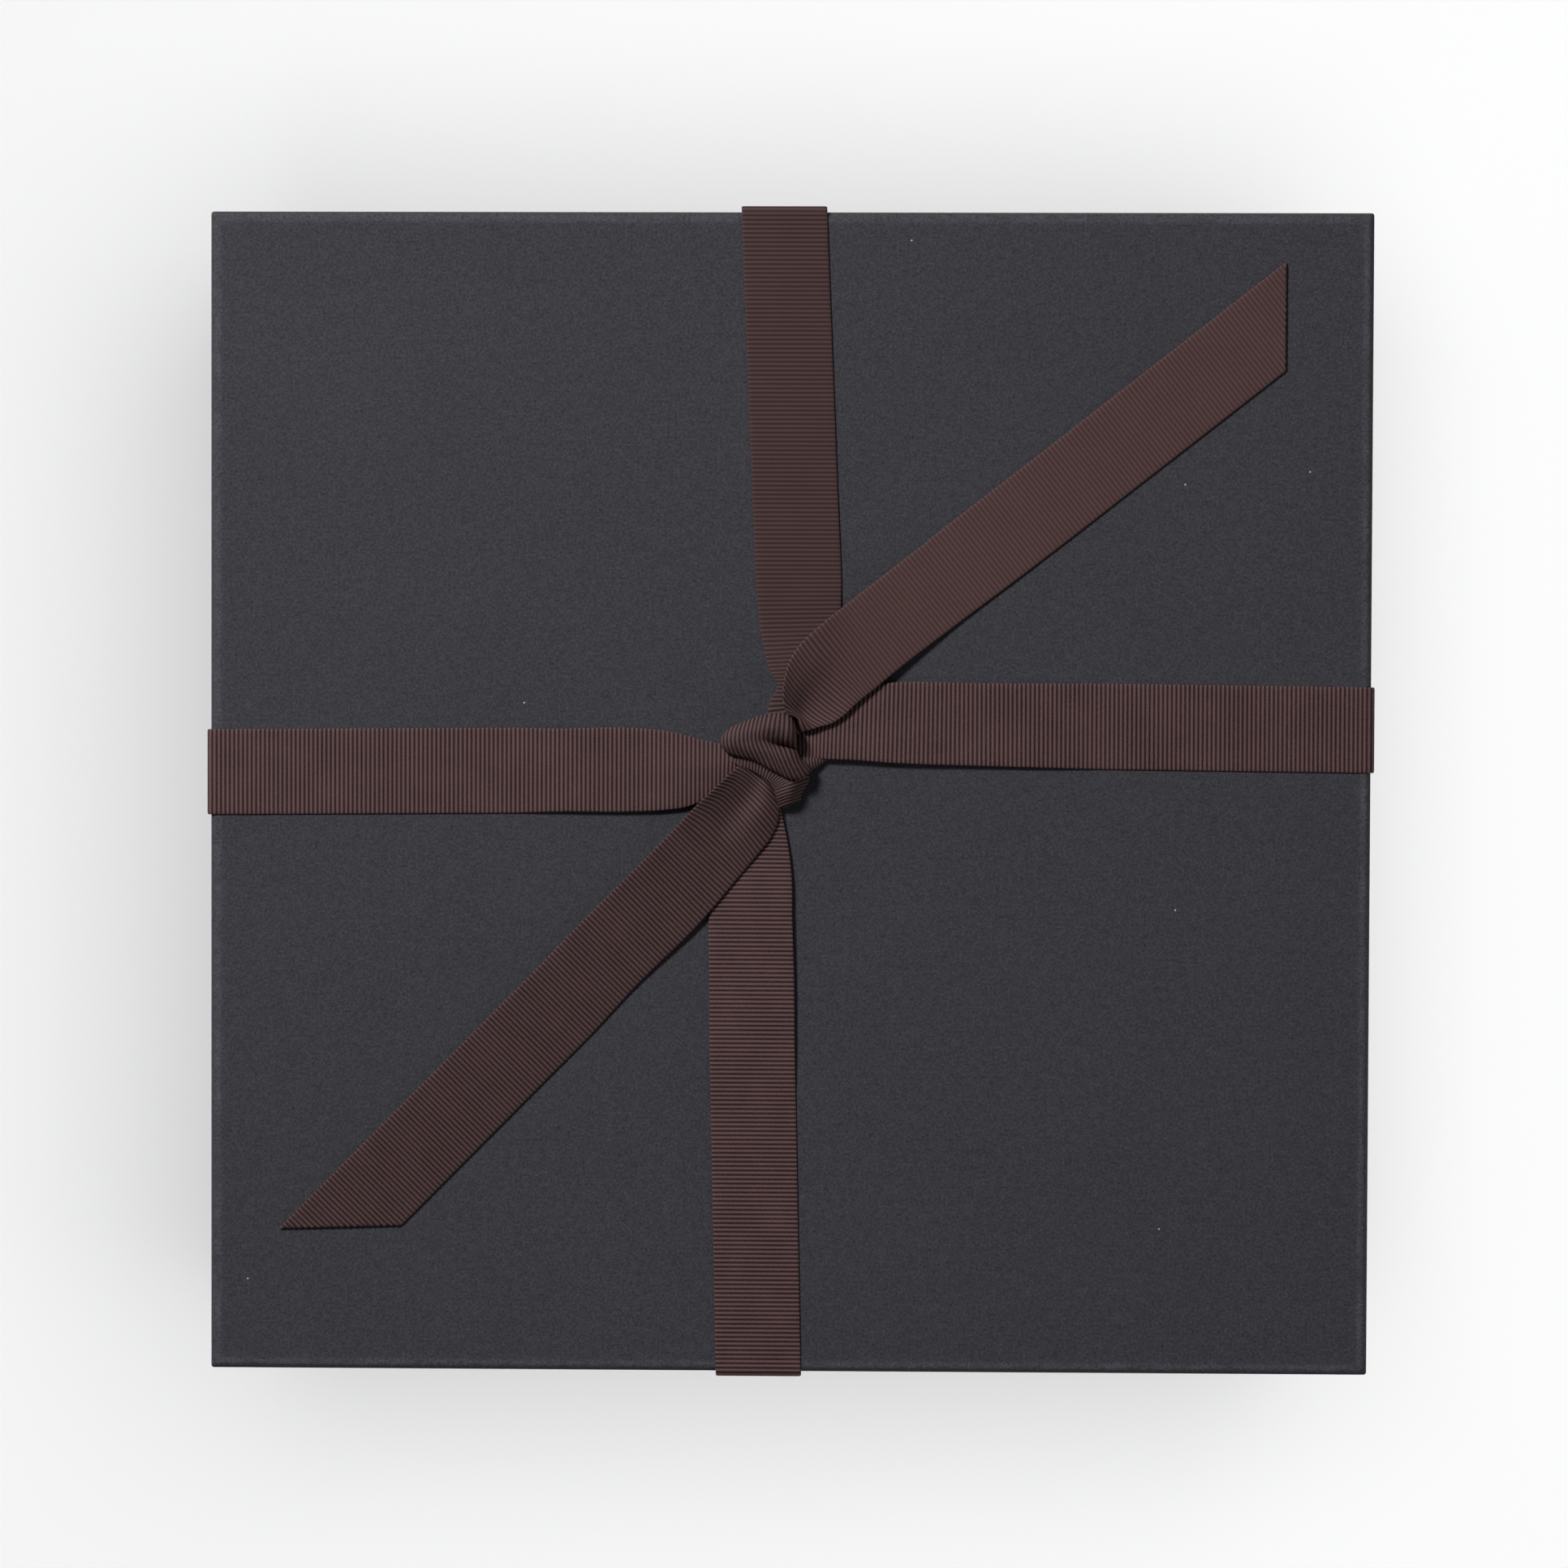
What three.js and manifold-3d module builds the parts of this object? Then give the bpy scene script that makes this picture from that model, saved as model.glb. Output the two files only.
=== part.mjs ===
// Rigid gift box: a covered grey-board base, a lift-off lid and a tied grosgrain ribbon.
// Millimetres, +Z up, +X right, +Y back. The origin is the centre of the underside.
// Each tray is a scored board blank with its corners held by paper stays, covered outside
// with one sheet that turns in over the rim, and lined inside with a second sheet.

import * as THREE from 'three';
import { mergeVertices } from 'three/addons/utils/BufferGeometryUtils.js';
import Module from 'manifold-3d';

// ---------------------------------------------------------------- overall sizes
const lidSize = 300; // covered lid, the same both ways
const boxHeight = 100; // table to the lid's covered top
const lidDepth = 40; // lid's covered top to its rim

// ---------------------------------------------------------------- board and papers
const boardThickness = 2;
const coverThickness = 0.25;
const liningThickness = 0.2;
const stayThickness = 0.15;
const glueLine = 0.05;
const cornerSeam = 0.3; // open seam between two walls of a folded blank
const turnIn = 18; // cover that goes over the rim and down inside
const turnUnder = 16; // cover that goes under the base
const liningReveal = 6; // turned-in cover left showing above the lining
const stayLeg = 22; // each leg of a corner stay
const stayReveal = 3; // board left clear above and below a stay
const bottomSheetMargin = 2.5; // cover left showing round the bottom sheet
const edgeRadius = 1.6; // covered fold between a panel and its walls
const rimRadius = 0.9; // covered rim, where the sheet turns in

// ---------------------------------------------------------------- fits
const lidPlay = 1.5; // each side, lid's lining to base's cover
const seatGap = 0.05; // lid's lining to the base's rim at rest

// ---------------------------------------------------------------- ribbon
const ribbonWidth = 22;
const ribbonThickness = 0.45;
const ribbonReturn = 20; // ribbon glued up inside the skirt
const tailRest = 0.8; // lid's top to the underside of a lying tail
const tailRise = 36; // run over which a tail comes down from the knot

// ---------------------------------------------------------------- derived heights
const bottomSheetTop = coverThickness;
const baseBoardBottom = bottomSheetTop + glueLine + coverThickness + glueLine;
const lidBoardTop = boxHeight - coverThickness - glueLine;
const lidLiningUnderside = lidBoardTop - boardThickness - glueLine - liningThickness;
const baseBoardTop = lidLiningUnderside - seatGap - coverThickness - glueLine;
const lidRim = boxHeight - lidDepth;
const lidBoardRim = lidRim + coverThickness + glueLine;

// ---------------------------------------------------------------- derived half widths
const sideStack = glueLine + stayThickness + glueLine + coverThickness;
const lidHalf = lidSize / 2;
const lidBoardHalf = lidHalf - sideStack;
const lidLiningInner = lidBoardHalf - boardThickness - 2 * glueLine - coverThickness - liningThickness;
const baseHalf = lidLiningInner - lidPlay;
const baseBoardHalf = baseHalf - sideStack;

// ---------------------------------------------------------------- mesh fineness
const bendSteps = 4;
const curveSteps = 18;
const knotSegments = [28, 16];
const cutMargin = 5; // how far a cutting tool runs past what it cuts

// ---------------------------------------------------------------- materials
function paperOrCloth(colour, roughness) {
  return new THREE.MeshStandardMaterial({ color: colour, roughness, metalness: 0 });
}
const greyBoard = paperOrCloth('#8d877c', 0.95);
const stayPaper = paperOrCloth('#b09468', 0.9);
const coverPaper = paperOrCloth('#3b3a3f', 0.85);
const liningPaper = paperOrCloth('#2f2e32', 0.9);
const grosgrain = paperOrCloth('#463739', 0.8);

// ---------------------------------------------------------------- joining and cutting
const wasm = await Module();
wasm.setup();

function toSolid(geometry) {
  const bare = geometry.clone();
  bare.deleteAttribute('normal');
  bare.deleteAttribute('uv');
  const merged = mergeVertices(bare);
  return new wasm.Manifold(new wasm.Mesh({
    numProp: 3,
    vertProperties: new Float32Array(merged.attributes.position.array),
    triVerts: new Uint32Array(merged.index.array),
  }));
}

function toGeometry(solid) {
  const mesh = solid.getMesh();
  const geometry = new THREE.BufferGeometry();
  geometry.setAttribute('position', new THREE.BufferAttribute(mesh.vertProperties, 3));
  geometry.setIndex(new THREE.BufferAttribute(mesh.triVerts, 1));
  geometry.computeVertexNormals();
  return geometry;
}

function block([x0, y0, z0], [x1, y1, z1]) {
  const geometry = new THREE.BoxGeometry(x1 - x0, y1 - y0, z1 - z0);
  return geometry.translate((x0 + x1) / 2, (y0 + y1) / 2, (z0 + z1) / 2);
}

// ---------------------------------------------------------------- shared shapes

// A closed outline from right-angled corners [x, y, radius]; a missing radius is a sharp corner.
function roundedOutline(corners) {
  const points = [];
  corners.forEach(([x, y, radius = 0], index) => {
    const corner = new THREE.Vector2(x, y);
    if (radius === 0) {
      points.push(corner);
      return;
    }
    const [xBefore, yBefore] = corners.at(index - 1);
    const [xAfter, yAfter] = corners[(index + 1) % corners.length];
    const toBefore = new THREE.Vector2(xBefore, yBefore).sub(corner).setLength(radius);
    const toAfter = new THREE.Vector2(xAfter, yAfter).sub(corner).setLength(radius);
    for (let step = 0; step <= bendSteps; step += 1) {
      const turn = (step / bendSteps) * (Math.PI / 2);
      const point = corner.clone();
      point.addScaledVector(toBefore, 1 - Math.sin(turn));
      point.addScaledVector(toAfter, 1 - Math.cos(turn));
      points.push(point);
    }
  });
  return points;
}

// A square tray or frame with mitred corners, from the section [half width, height] through one
// wall. Heights count from the outer face of the panel, towards the rim: up for the base
// (direction 1), down for the lid (direction -1).
function squareTray(corners, panelZ, direction) {
  const section = roundedOutline(corners);
  const points = section.map((point) => (
    new THREE.Vector2(point.x * Math.SQRT2, panelZ + direction * point.y)
  ));
  if (direction < 0) points.reverse();
  if (section[0].x > 0) points.push(points[0].clone());
  const geometry = new THREE.LatheGeometry(points, 4, Math.PI / 4);
  return geometry.rotateX(Math.PI / 2);
}

// ---------------------------------------------------------------- the two trays
const trays = {
  base: {
    half: baseBoardHalf,
    panelZ: baseBoardBottom,
    direction: 1,
    depth: baseBoardTop - baseBoardBottom,
  },
  lid: {
    half: lidBoardHalf,
    panelZ: lidBoardTop,
    direction: -1,
    depth: lidBoardTop - lidBoardRim,
  },
};

// Folded blank: a panel and four walls in one board. Two walls run the full width and the other
// two stop short of them by the open seam.
function boardGeometry({ half, panelZ, direction, depth }) {
  const inner = half - boardThickness;
  const foldRound = edgeRadius - coverThickness - glueLine;
  const rimRound = rimRadius - coverThickness;
  const blank = toSolid(squareTray([
    [0, 0],
    [half, 0, foldRound],
    [half, depth, rimRound],
    [inner, depth, rimRound],
    [inner, boardThickness],
    [0, boardThickness],
  ], panelZ, direction));
  const seamEnds = [panelZ + direction * boardThickness, panelZ + direction * (depth + cutMargin)];
  let cut = blank;
  for (const x of [-1, 1]) {
    for (const y of [-1, 1]) {
      const xEnds = [x * (inner - cutMargin), x * (half + cutMargin)];
      const yEnds = [y * (inner - cornerSeam), y * inner];
      const low = [Math.min(...xEnds), Math.min(...yEnds), Math.min(...seamEnds)];
      const high = [Math.max(...xEnds), Math.max(...yEnds), Math.max(...seamEnds)];
      cut = cut.subtract(toSolid(block(low, high)));
    }
  }
  return toGeometry(cut);
}

// Paper stay folded round the outside of one corner.
function stayGeometry({ half, panelZ, direction, depth }) {
  const inside = half + glueLine;
  const outside = inside + stayThickness;
  const outline = new THREE.Shape(roundedOutline([
    [inside, inside - stayLeg],
    [outside, inside - stayLeg],
    [outside, outside],
    [inside - stayLeg, outside],
    [inside - stayLeg, inside],
    [inside, inside],
  ]));
  const height = depth - 2 * stayReveal;
  const geometry = new THREE.ExtrudeGeometry(outline, { depth: height, bevelEnabled: false });
  const ends = [panelZ + direction * stayReveal, panelZ + direction * (depth - stayReveal)];
  return geometry.translate(0, 0, Math.min(...ends));
}

// Cover sheet: outside of the walls, over the rim and down inside. On the lid it covers the
// panel too; on the base it turns under the panel and leaves the middle to the bottom sheet.
function coverGeometry({ half, panelZ, direction, depth }, coversPanel) {
  const outside = half + sideStack;
  const turnInOuter = half - boardThickness - glueLine;
  const turnInInner = turnInOuter - coverThickness;
  const panelEnd = coversPanel ? 0 : half - turnUnder;
  const face = -glueLine - coverThickness;
  const rim = depth + glueLine + coverThickness;
  return squareTray([
    [panelEnd, face],
    [outside, face, edgeRadius],
    [outside, rim, rimRadius],
    [turnInInner, rim, rimRadius],
    [turnInInner, depth - turnIn],
    [turnInOuter, depth - turnIn],
    [turnInOuter, depth + glueLine, rimRadius - coverThickness],
    [outside - coverThickness, depth + glueLine, rimRadius - coverThickness],
    [outside - coverThickness, -glueLine, edgeRadius - coverThickness],
    [panelEnd, -glueLine],
  ], panelZ, direction);
}

// Lining sheet: inside of the panel and the walls, over the edge of the turned-in cover.
function liningGeometry({ half, panelZ, direction, depth }) {
  const outer = half - boardThickness - 2 * glueLine - coverThickness;
  const inner = outer - liningThickness;
  const face = boardThickness + glueLine;
  return squareTray([
    [0, face],
    [outer, face],
    [outer, depth - liningReveal],
    [inner, depth - liningReveal],
    [inner, face + liningThickness],
    [0, face + liningThickness],
  ], panelZ, direction);
}

// Plain sheet that closes the base underneath and meets the table.
function bottomSheetGeometry() {
  const half = baseHalf - bottomSheetMargin;
  return squareTray([[0, 0], [half, 0], [half, bottomSheetTop], [0, bottomSheetTop]], 0, 1);
}

// ---------------------------------------------------------------- ribbon
// Four arms of the cross. Each runs out over the lid at its own slant, down the skirt, round the
// rim and up inside. heading turns the arm about Z. Side offsets are to the left of the heading:
// atEdge where it goes over the lid's edge, atGather where it starts to gather for the knot, and
// throat the two sides of its end, tucked under the knot.
const arms = [
  { side: 'right', heading: 0, atEdge: 17, atGather: 18.3, gather: 30, tuck: 3, throat: [7.5, 15.5] },
  { side: 'back', heading: 90, atEdge: 1.8, atGather: -2.7, gather: 46, tuck: 19.5, throat: [-3, 4.5] },
  { side: 'left', heading: 180, atEdge: -5.1, atGather: -6.1, gather: 42, tuck: 13, throat: [-13, -6] },
  { side: 'front', heading: 270, atEdge: -7.5, atGather: -9.8, gather: 32, tuck: 0.5, throat: [-7, -0.5] },
];

// Section of an arm along its length, at its own thickness, outside the lid.
function armSection(tuck) {
  const run = [];
  for (const offset of [0, ribbonThickness]) {
    const reach = lidHalf + glueLine + offset;
    const top = boxHeight + glueLine + offset;
    const under = lidRim - glueLine - offset;
    const inside = lidLiningInner - glueLine - offset;
    run.push([
      [tuck, top],
      [reach, top, edgeRadius + glueLine + offset],
      [reach, under, rimRadius + glueLine + offset],
      [inside, under, rimRadius + glueLine + offset],
      [inside, lidRim + ribbonReturn],
    ]);
  }
  return new THREE.Shape(roundedOutline([...run[0], ...run[1].reverse()]));
}

function armGeometry({ heading, atEdge, atGather, gather, tuck, throat }) {
  const slant = (atEdge - atGather) / (lidHalf - gather);
  const middleAt = (reach) => atEdge + slant * (reach - lidHalf);
  const section = armSection(tuck);
  const strip = new THREE.ExtrudeGeometry(section, { depth: ribbonWidth, bevelEnabled: false });
  strip.rotateX(Math.PI / 2);
  strip.translate(0, ribbonWidth / 2, 0);
  const slide = new THREE.Matrix4().makeShear(slant, 0, 0, 0, 0, 0);
  strip.applyMatrix4(slide);
  strip.translate(0, middleAt(0), 0);

  const far = lidHalf + cutMargin;
  const wide = ribbonWidth / 2 + cutMargin;
  const plan = new THREE.Shape([
    new THREE.Vector2(tuck - cutMargin, throat[0]),
    new THREE.Vector2(tuck, throat[0]),
    new THREE.Vector2(gather, middleAt(gather) - ribbonWidth / 2),
    new THREE.Vector2(far, middleAt(far) - wide),
    new THREE.Vector2(far, middleAt(far) + wide),
    new THREE.Vector2(gather, middleAt(gather) + ribbonWidth / 2),
    new THREE.Vector2(tuck, throat[1]),
    new THREE.Vector2(tuck - cutMargin, throat[1]),
  ]);
  const depth = lidDepth + 2 * cutMargin;
  const cutter = new THREE.ExtrudeGeometry(plan, { depth, bevelEnabled: false });
  cutter.translate(0, 0, lidRim - cutMargin);
  const geometry = toGeometry(toSolid(strip).intersect(toSolid(cutter)));
  return geometry.rotateZ(THREE.MathUtils.degToRad(heading));
}

// Two free tails. root is the middle of the tail's end at the knot, rootHeight its height over
// the lid, rootWidth its gathered width. From there it opens to full width and lies down over
// tailRise, then runs along the heading. stray is how far the laid part runs to the left of the
// root, reach its length along the heading, and cut the angle of its trimmed end.
const tails = [
  { side: 'right', root: [3.5, 20.5], rootHeight: 4.5, rootWidth: 11, heading: 38.1, stray: 4.5, reach: 161,
    cut: 90 },
  { side: 'left', root: [-11.5, 2], rootHeight: 3.6, rootWidth: 13, heading: 225.4, stray: 6.3, reach: 156,
    cut: 182 },
];

// Section of a tail along its length: it leaves the knot level, then comes down and lies flat.
function tailSection(rootHeight, length) {
  const fall = new THREE.CubicBezierCurve(
    new THREE.Vector2(0, rootHeight),
    new THREE.Vector2(tailRise * 0.4, rootHeight + ribbonThickness),
    new THREE.Vector2(tailRise * 0.5, tailRest),
    new THREE.Vector2(tailRise, tailRest),
  );
  const under = fall.getPoints(curveSteps);
  const over = under.map((point, index) => {
    const along = fall.getTangent(index / curveSteps);
    return point.clone().add(new THREE.Vector2(-along.y, along.x).multiplyScalar(ribbonThickness));
  });
  const end = [
    new THREE.Vector2(length, tailRest),
    new THREE.Vector2(length, tailRest + ribbonThickness),
  ];
  return new THREE.Shape([...under, ...end, ...over.reverse()]);
}

function tailGeometry({ root, rootHeight, rootWidth, heading, stray, reach, cut }) {
  const turn = THREE.MathUtils.degToRad(cut - heading);
  const endSlope = Math.cos(turn) / Math.sin(turn);
  const half = ribbonWidth / 2;
  const length = reach + half * Math.abs(endSlope) + cutMargin;
  const strip = new THREE.ExtrudeGeometry(tailSection(rootHeight, length), {
    depth: 2 * (ribbonWidth + stray),
    bevelEnabled: false,
  });
  strip.rotateX(Math.PI / 2);
  strip.translate(0, ribbonWidth + stray, 0);

  const endAt = (side) => reach + (side - stray) * endSlope;
  const plan = new THREE.Shape();
  plan.moveTo(0, -rootWidth / 2);
  plan.quadraticCurveTo(tailRise / 2, stray - half, tailRise, stray - half);
  plan.lineTo(endAt(stray - half), stray - half);
  plan.lineTo(endAt(stray + half), stray + half);
  plan.lineTo(tailRise, stray + half);
  plan.quadraticCurveTo(tailRise / 2, stray + half, 0, rootWidth / 2);
  const cutter = new THREE.ExtrudeGeometry(plan, {
    depth: rootHeight + 2 * cutMargin,
    bevelEnabled: false,
    curveSegments: curveSteps,
  });
  cutter.translate(0, 0, -cutMargin);
  const geometry = toGeometry(toSolid(strip).intersect(toSolid(cutter)));
  geometry.rotateZ(THREE.MathUtils.degToRad(heading));
  return geometry.translate(root[0], root[1], boxHeight);
}

// Knot: the gathered ribbon as rounded folds pressed together, flat underneath where it sits on
// the arms. centre is over the lid's top, turn is about Z.
const knotFolds = [
  { centre: [-6, 13, 3], radii: [11.3, 7.4, 5.6], turn: -12 },
  { centre: [-3, 8, 2.5], radii: [8, 6, 4.6], turn: -25 },
  { centre: [-0.5, 1.2, 2], radii: [4.4, 4.6, 3.6], turn: 0 },
];

function knotGeometry() {
  const folds = knotFolds.map(({ centre, radii, turn }) => {
    const fold = new THREE.SphereGeometry(1, ...knotSegments);
    fold.rotateX(Math.PI / 2);
    fold.scale(...radii);
    fold.rotateZ(THREE.MathUtils.degToRad(turn));
    fold.translate(centre[0], centre[1], boxHeight + centre[2]);
    return toSolid(fold);
  });
  const underside = boxHeight + glueLine + ribbonThickness + glueLine;
  const below = block([-lidHalf, -lidHalf, lidRim], [lidHalf, lidHalf, underside]);
  const pressed = folds.reduce((knot, fold) => knot.add(fold));
  return toGeometry(pressed.subtract(toSolid(below)));
}

// ---------------------------------------------------------------- assembly
const giftBox = new THREE.Group();

function addPiece(name, geometry, material, turnDegrees = 0) {
  const piece = new THREE.Mesh(geometry, material);
  piece.name = name;
  piece.rotation.z = THREE.MathUtils.degToRad(turnDegrees);
  giftBox.add(piece);
}

for (const [name, tray] of Object.entries(trays)) {
  addPiece(`${name}_board`, boardGeometry(tray), greyBoard);
  ['back_right', 'back_left', 'front_left', 'front_right'].forEach((corner, index) => {
    addPiece(`${name}_stay_${corner}`, stayGeometry(tray), stayPaper, index * 90);
  });
  addPiece(`${name}_cover`, coverGeometry(tray, name === 'lid'), coverPaper);
  addPiece(`${name}_lining`, liningGeometry(tray), liningPaper);
}
addPiece('base_bottom_sheet', bottomSheetGeometry(), coverPaper);
for (const arm of arms) {
  addPiece(`ribbon_arm_${arm.side}`, armGeometry(arm), grosgrain);
}
addPiece('ribbon_knot', knotGeometry(), grosgrain);
for (const tail of tails) {
  addPiece(`ribbon_tail_${tail.side}`, tailGeometry(tail), grosgrain);
}

export default giftBox;
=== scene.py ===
import math

import bmesh
import bpy
import numpy as np
from mathutils import Euler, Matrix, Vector


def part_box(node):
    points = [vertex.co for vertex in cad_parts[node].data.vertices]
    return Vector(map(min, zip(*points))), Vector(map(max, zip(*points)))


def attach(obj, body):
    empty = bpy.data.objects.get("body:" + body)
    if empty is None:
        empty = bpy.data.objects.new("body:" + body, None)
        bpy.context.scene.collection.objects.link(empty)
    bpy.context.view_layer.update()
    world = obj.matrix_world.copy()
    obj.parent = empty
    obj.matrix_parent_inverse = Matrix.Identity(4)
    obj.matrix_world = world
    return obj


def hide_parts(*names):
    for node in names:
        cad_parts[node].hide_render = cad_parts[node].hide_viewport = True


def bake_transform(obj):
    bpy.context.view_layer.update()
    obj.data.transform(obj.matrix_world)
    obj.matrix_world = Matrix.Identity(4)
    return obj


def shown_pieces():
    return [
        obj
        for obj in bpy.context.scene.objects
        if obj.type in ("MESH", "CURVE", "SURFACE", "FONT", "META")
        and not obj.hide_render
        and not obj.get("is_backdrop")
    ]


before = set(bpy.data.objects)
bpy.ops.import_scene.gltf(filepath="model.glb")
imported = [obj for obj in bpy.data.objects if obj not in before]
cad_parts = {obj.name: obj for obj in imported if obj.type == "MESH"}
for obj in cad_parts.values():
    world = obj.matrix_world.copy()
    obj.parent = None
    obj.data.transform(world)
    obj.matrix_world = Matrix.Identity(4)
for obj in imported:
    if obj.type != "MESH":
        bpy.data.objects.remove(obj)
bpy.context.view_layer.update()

# Gift box with a lift-off lid, covered in charcoal paper and tied with grosgrain ribbon.
# Metres. +X right, +Y back, +Z up. The origin is the centre of the underside.

MM = 0.001
GLUE = 0.05 * MM
LINING_THICKNESS = 0.2 * MM

# ------------------------------------------------------------------ sizes read from the frame
BASE_LOW, BASE_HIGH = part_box("base_cover")
LID_LOW, LID_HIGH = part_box("lid_cover")
LID_HALF = LID_HIGH.x
LID_TOP = LID_HIGH.z
LID_RIM = LID_LOW.z
RIBBON_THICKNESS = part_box("ribbon_arm_right")[1].x - LID_HALF - GLUE
LINING_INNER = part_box("lid_lining")[1].x - LINING_THICKNESS

# ------------------------------------------------------------------ ribbon
RIBBON_WIDTH = 22 * MM
RIB_PITCH = 1.14 * MM
STEPS_PER_RIB = 6
RIB_HEIGHT = 0.2 * MM  # crest over valley, each face
RIB_FULLNESS = 0.8  # below 1 gives broad ribs with narrow valleys
CORE_HALF = 0.05 * MM
SELVEDGE_SCALLOP = 0.06 * MM  # how far a rib stands out at the edge
EDGE_ROUND = 0.03  # share of the width that rounds over at each edge
SAMPLE_STEP = 0.2 * MM  # step at which a strip's path is measured
BEND_RADIUS = 1.65 * MM  # ribbon over the lid's edge
RIM_RADIUS = 0.95 * MM  # ribbon round the rim
RETURN_LENGTH = 20 * MM  # ribbon up inside the skirt


# ------------------------------------------------------------------ curves and strips
def through(knots, values, at):
    """Smooth curve through values at uneven knots, sampled at the given places."""
    values = np.asarray(values, float)
    gaps = np.diff(knots)
    slopes = np.diff(values, axis=0) / gaps.reshape((-1,) + (1,) * (values.ndim - 1))
    tangents = np.empty_like(values)
    tangents[0] = slopes[0]
    tangents[-1] = slopes[-1]
    before = gaps[:-1].reshape((-1,) + (1,) * (values.ndim - 1))
    after = gaps[1:].reshape(before.shape)
    tangents[1:-1] = (slopes[1:] * before + slopes[:-1] * after) / (before + after)
    cell = np.clip(np.searchsorted(knots, at, side="right") - 1, 0, len(gaps) - 1)
    width = gaps[cell]
    t = (at - knots[cell]) / width
    shape = (-1,) + (1,) * (values.ndim - 1)
    t = t.reshape(shape)
    width = width.reshape(shape)
    return (
        (2 * t**3 - 3 * t**2 + 1) * values[cell]
        + (t**3 - 2 * t**2 + t) * width * tangents[cell]
        + (-2 * t**3 + 3 * t**2) * values[cell + 1]
        + (t**3 - t**2) * width * tangents[cell + 1]
    )


def chord_knots(sections):
    """Distance along a run of cross sections, measured down the middle of the strip."""
    steps = np.linalg.norm(np.diff(sections, axis=0), axis=2).mean(axis=1)
    return np.concatenate([[0.0], np.cumsum(np.maximum(steps, 1e-6))])


def across_places(guides):
    """Places across a strip, close together at the two selvedges."""
    edge = [0, 0.15, 0.45, 1]
    left = [EDGE_ROUND * share for share in edge]
    middle = list(np.linspace(EDGE_ROUND, 1 - EDGE_ROUND, 4 * guides - 3))[1:-1]
    right = [1 - place for place in reversed(left)]
    return np.array(left + middle + right)


def strip_surface(sections, pitch):
    """Rows of points at equal steps along the strip, and each row's distance along it."""
    sections = np.asarray(sections, float)
    knots = chord_knots(sections)
    dense_at = np.linspace(0, knots[-1], max(60, int(knots[-1] / SAMPLE_STEP)))
    dense = through(knots, sections, dense_at)
    travelled = chord_knots(dense)
    steps = int(round(travelled[-1] / pitch)) * STEPS_PER_RIB
    along = np.linspace(0, travelled[-1], steps + 1)
    rows = np.empty((len(along),) + dense.shape[1:])
    for guide in range(dense.shape[1]):
        for axis in range(3):
            rows[:, guide, axis] = np.interp(along, travelled, dense[:, guide, axis])
    guides = np.linspace(0, 1, rows.shape[1])
    places = across_places(rows.shape[1])
    surface = through(guides, rows.swapaxes(0, 1), places).swapaxes(0, 1)
    return surface, along, places


def unit(vectors):
    """The vectors scaled to length 1."""
    return vectors / np.maximum(np.linalg.norm(vectors, axis=-1, keepdims=True), 1e-12)


def woven_strip(name, sections, pitch=RIB_PITCH, rib_shading=(1, 1, 1)):
    """A ribbed ribbon through cross sections that run from its left edge to its right edge.

    rib_shading is how strongly the painted highlight on the ribs' crests and the painted shade in
    their valleys show at the start, further on, and the fade between in metres.
    """
    surface, along, places = strip_surface(sections, pitch)
    forward = unit(np.gradient(surface, axis=0))
    sideways = unit(np.gradient(surface, places, axis=1))
    normal = unit(np.cross(sideways, forward))
    crest = np.abs(np.sin(math.pi * along / pitch)) ** RIB_FULLNESS
    from_edge = np.minimum(places, 1 - places) / EDGE_ROUND
    rounding = np.sqrt(1 - (1 - np.clip(from_edge, 0, 1)) ** 2)
    half = (CORE_HALF + RIB_HEIGHT * crest)[:, None] * rounding[None, :]
    outward = np.where(places < 0.5, -1.0, 1.0) * (1 - np.clip(from_edge, 0, 1))
    scallop = sideways * (SELVEDGE_SCALLOP * crest)[:, None, None] * outward[None, :, None]
    middle = surface + scallop
    upper = middle + normal * half[..., None]
    lower = middle - normal * half[..., None]
    # The two selvedge points are shared by both faces.
    ring = np.concatenate([upper, lower[:, -2:0:-1]], axis=1)
    rows, around = ring.shape[:2]
    width = np.linalg.norm(np.diff(surface, axis=1), axis=2).sum(axis=1)
    place_round = np.concatenate([places, places[-2:0:-1]])
    faded = np.clip(along / rib_shading[2], 0, 1)
    weave = np.empty((rows, around, 3))
    weave[..., 0] = (along / pitch)[:, None] * RIB_PITCH
    weave[..., 1] = (place_round - 0.5)[None, :] * RIBBON_WIDTH
    # Its third part is how strongly the ribs' painted highlight and painted shade show.
    weave[..., 2] = (rib_shading[0] + (rib_shading[1] - rib_shading[0]) * faded)[:, None]

    index = np.arange(rows * around).reshape(rows, around)
    here, beyond = index[:-1], index[1:]
    quads = np.stack(
        [here, np.roll(here, -1, axis=1), np.roll(beyond, -1, axis=1), beyond], axis=-1
    ).reshape(-1, 4)
    faces = [tuple(int(i) for i in quad) for quad in quads]
    faces.append(tuple(int(i) for i in index[0][::-1]))
    faces.append(tuple(int(i) for i in index[-1]))
    mesh = bpy.data.meshes.new(name)
    mesh.from_pydata(ring.reshape(-1, 3).tolist(), [], faces)
    mesh.validate()
    attribute = mesh.attributes.new("weave", "FLOAT_VECTOR", "POINT")
    attribute.data.foreach_set("vector", weave.reshape(-1).astype(np.float32))
    mesh.shade_smooth()
    piece = bpy.data.objects.new(name, mesh)
    bpy.context.scene.collection.objects.link(piece)
    fix_facing(piece)
    return piece, float(along[-1]), float(width.mean())


def fix_facing(piece):
    """Turns every face of a closed piece outwards."""
    work = bmesh.new()
    work.from_mesh(piece.data)
    bmesh.ops.recalc_face_normals(work, faces=work.faces)
    work.to_mesh(piece.data)
    work.free()


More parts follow.
